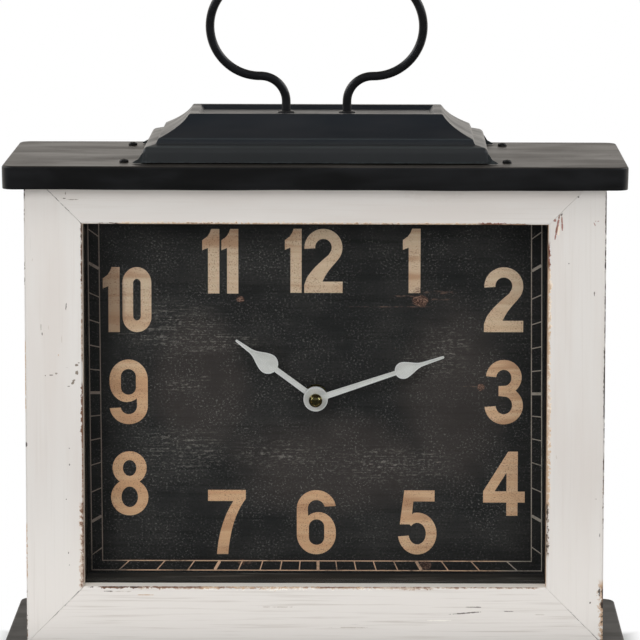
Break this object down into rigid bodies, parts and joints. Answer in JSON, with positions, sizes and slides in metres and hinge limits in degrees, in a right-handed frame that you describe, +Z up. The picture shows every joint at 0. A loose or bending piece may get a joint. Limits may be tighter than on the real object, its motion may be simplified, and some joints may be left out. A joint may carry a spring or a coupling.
{
  "type": "table clock",
  "caption": "Glazed wooden table clock with sheet-metal roof and base, a wire loop handle on a stepped plinth, and a battery movement with its gear trains.",
  "frame": {"origin": "middle of the footprint, on the surface that the clock stands on", "axes": "+Z up, -Y towards the viewer of the dial, +X to that viewer's right"},
  "size_m": [0.3296, 0.1296, 0.3751],
  "materials": {
    "white_paint": "worn matt white paint",
    "black_wood": "matt black stain",
    "dial_print": "matt print",
    "hardboard": "raw board",
    "glass": "clear",
    "black_metal": "worn satin black",
    "steel": "plain",
    "rubber": "matt",
    "hand_paint": "satin",
    "brass": "polished",
    "black_plastic": "satin",
    "white_plastic": "satin",
    "copper": "enamelled winding",
    "circuit": "lacquered",
    "battery": "printed wrap"
  },
  "bodies": {
    "clock_case": {"back_panel": "hardboard", "back_screw_1": "steel", "back_screw_2": "steel", "back_screw_3": "steel", "back_screw_4": "steel", "base_screw_1": "steel", "base_screw_2": "steel", "base_screw_3": "steel", "base_screw_4": "steel", "base_tray": "black_metal", "batten_bottom": "black_wood", "batten_left": "black_wood", "batten_right": "black_wood", "batten_top": "black_wood", "battery": "battery", "battery_contact": "steel", "battery_spring": "steel", "bush_nut": "brass", "bush_washer": "brass", "case_bottom": "white_paint", "case_left": "white_paint", "case_right": "white_paint", "case_top": "white_paint", "circuit_board": "circuit", "dial_board": "dial_print", "foot_pad_1": "rubber", "foot_pad_2": "rubber", "foot_pad_3": "rubber", "foot_pad_4": "rubber", "glass_pane": "glass", "handle_strap": "steel", "handle_washer_left": "black_metal", "handle_washer_right": "black_metal", "handle_wire": "black_metal", "motor_coil": "copper", "motor_stator": "steel", "movement_case": "black_plastic", "movement_cover": "black_plastic", "plinth": "black_metal", "rail_bottom": "white_paint", "rail_left": "white_paint", "rail_right": "white_paint", "rail_top": "white_paint", "roof_screw_1": "black_metal", "roof_screw_2": "black_metal", "roof_screw_3": "black_metal", "roof_screw_4": "black_metal", "roof_tray": "black_metal"},
    "minute_work": {"minute_arbor": "steel", "minute_hand": "hand_paint", "cap_nut": "brass"},
    "hour_work": {"hour_wheel": "white_plastic", "hour_hand": "hand_paint"},
    "motion_work": {"motion_wheel": "white_plastic"},
    "setting_knob": {"setting_knob": "white_plastic"},
    "centre_wheel": {"centre_wheel": "brass"},
    "third_wheel": {"third_wheel": "white_plastic"},
    "fourth_wheel": {"fourth_wheel": "white_plastic"},
    "fifth_wheel": {"fifth_wheel": "white_plastic"},
    "motor_rotor": {"motor_rotor": "steel"}
  },
  "joints": [
    {"name": "minute_turn", "type": "hinge", "parent": "clock_case", "child": "minute_work", "pos_m": [0, -0.0155, 0.1494], "axis": [0, 1, 0], "continuous": true},
    {"name": "hour_turn", "type": "hinge", "parent": "clock_case", "child": "hour_work", "pos_m": [0, -0.0155, 0.1494], "axis": [0, 1, 0], "continuous": true},
    {"name": "motion_turn", "type": "hinge", "parent": "clock_case", "child": "motion_work", "pos_m": [-0.00554, -0.009, 0.1526], "axis": [0, 1, 0], "continuous": true},
    {"name": "knob_turn", "type": "hinge", "parent": "clock_case", "child": "setting_knob", "pos_m": [-0.00855, 0.006, 0.15825], "axis": [0, 1, 0], "continuous": true},
    {"name": "rotor_turn", "type": "hinge", "parent": "clock_case", "child": "motor_rotor", "pos_m": [0.01438, -0.004, 0.16129], "axis": [0, 1, 0], "continuous": true},
    {"name": "fifth_turn", "type": "hinge", "parent": "clock_case", "child": "fifth_wheel", "pos_m": [0.01303, -0.004, 0.15757], "axis": [0, 1, 0], "continuous": true},
    {"name": "fourth_turn", "type": "hinge", "parent": "clock_case", "child": "fourth_wheel", "pos_m": [0.00848, -0.004, 0.15677], "axis": [0, 1, 0], "continuous": true},
    {"name": "third_turn", "type": "hinge", "parent": "clock_case", "child": "third_wheel", "pos_m": [0.00578, -0.004, 0.15209], "axis": [0, 1, 0], "continuous": true},
    {"name": "centre_turn", "type": "hinge", "parent": "clock_case", "child": "centre_wheel", "pos_m": [0, -0.0063, 0.1494], "axis": [0, 1, 0], "continuous": true}
  ],
  "couplings": [
    {"joint": "hour_turn", "follows": "minute_turn", "ratio": 0.083333},
    {"joint": "motion_turn", "follows": "minute_turn", "ratio": -0.33333},
    {"joint": "knob_turn", "follows": "minute_turn", "ratio": 1},
    {"joint": "fifth_turn", "follows": "rotor_turn", "ratio": -0.2},
    {"joint": "fourth_turn", "follows": "rotor_turn", "ratio": 0.033333},
    {"joint": "third_turn", "follows": "rotor_turn", "ratio": -0.0041667},
    {"joint": "centre_turn", "follows": "rotor_turn", "ratio": 0.00055556}
  ]
}
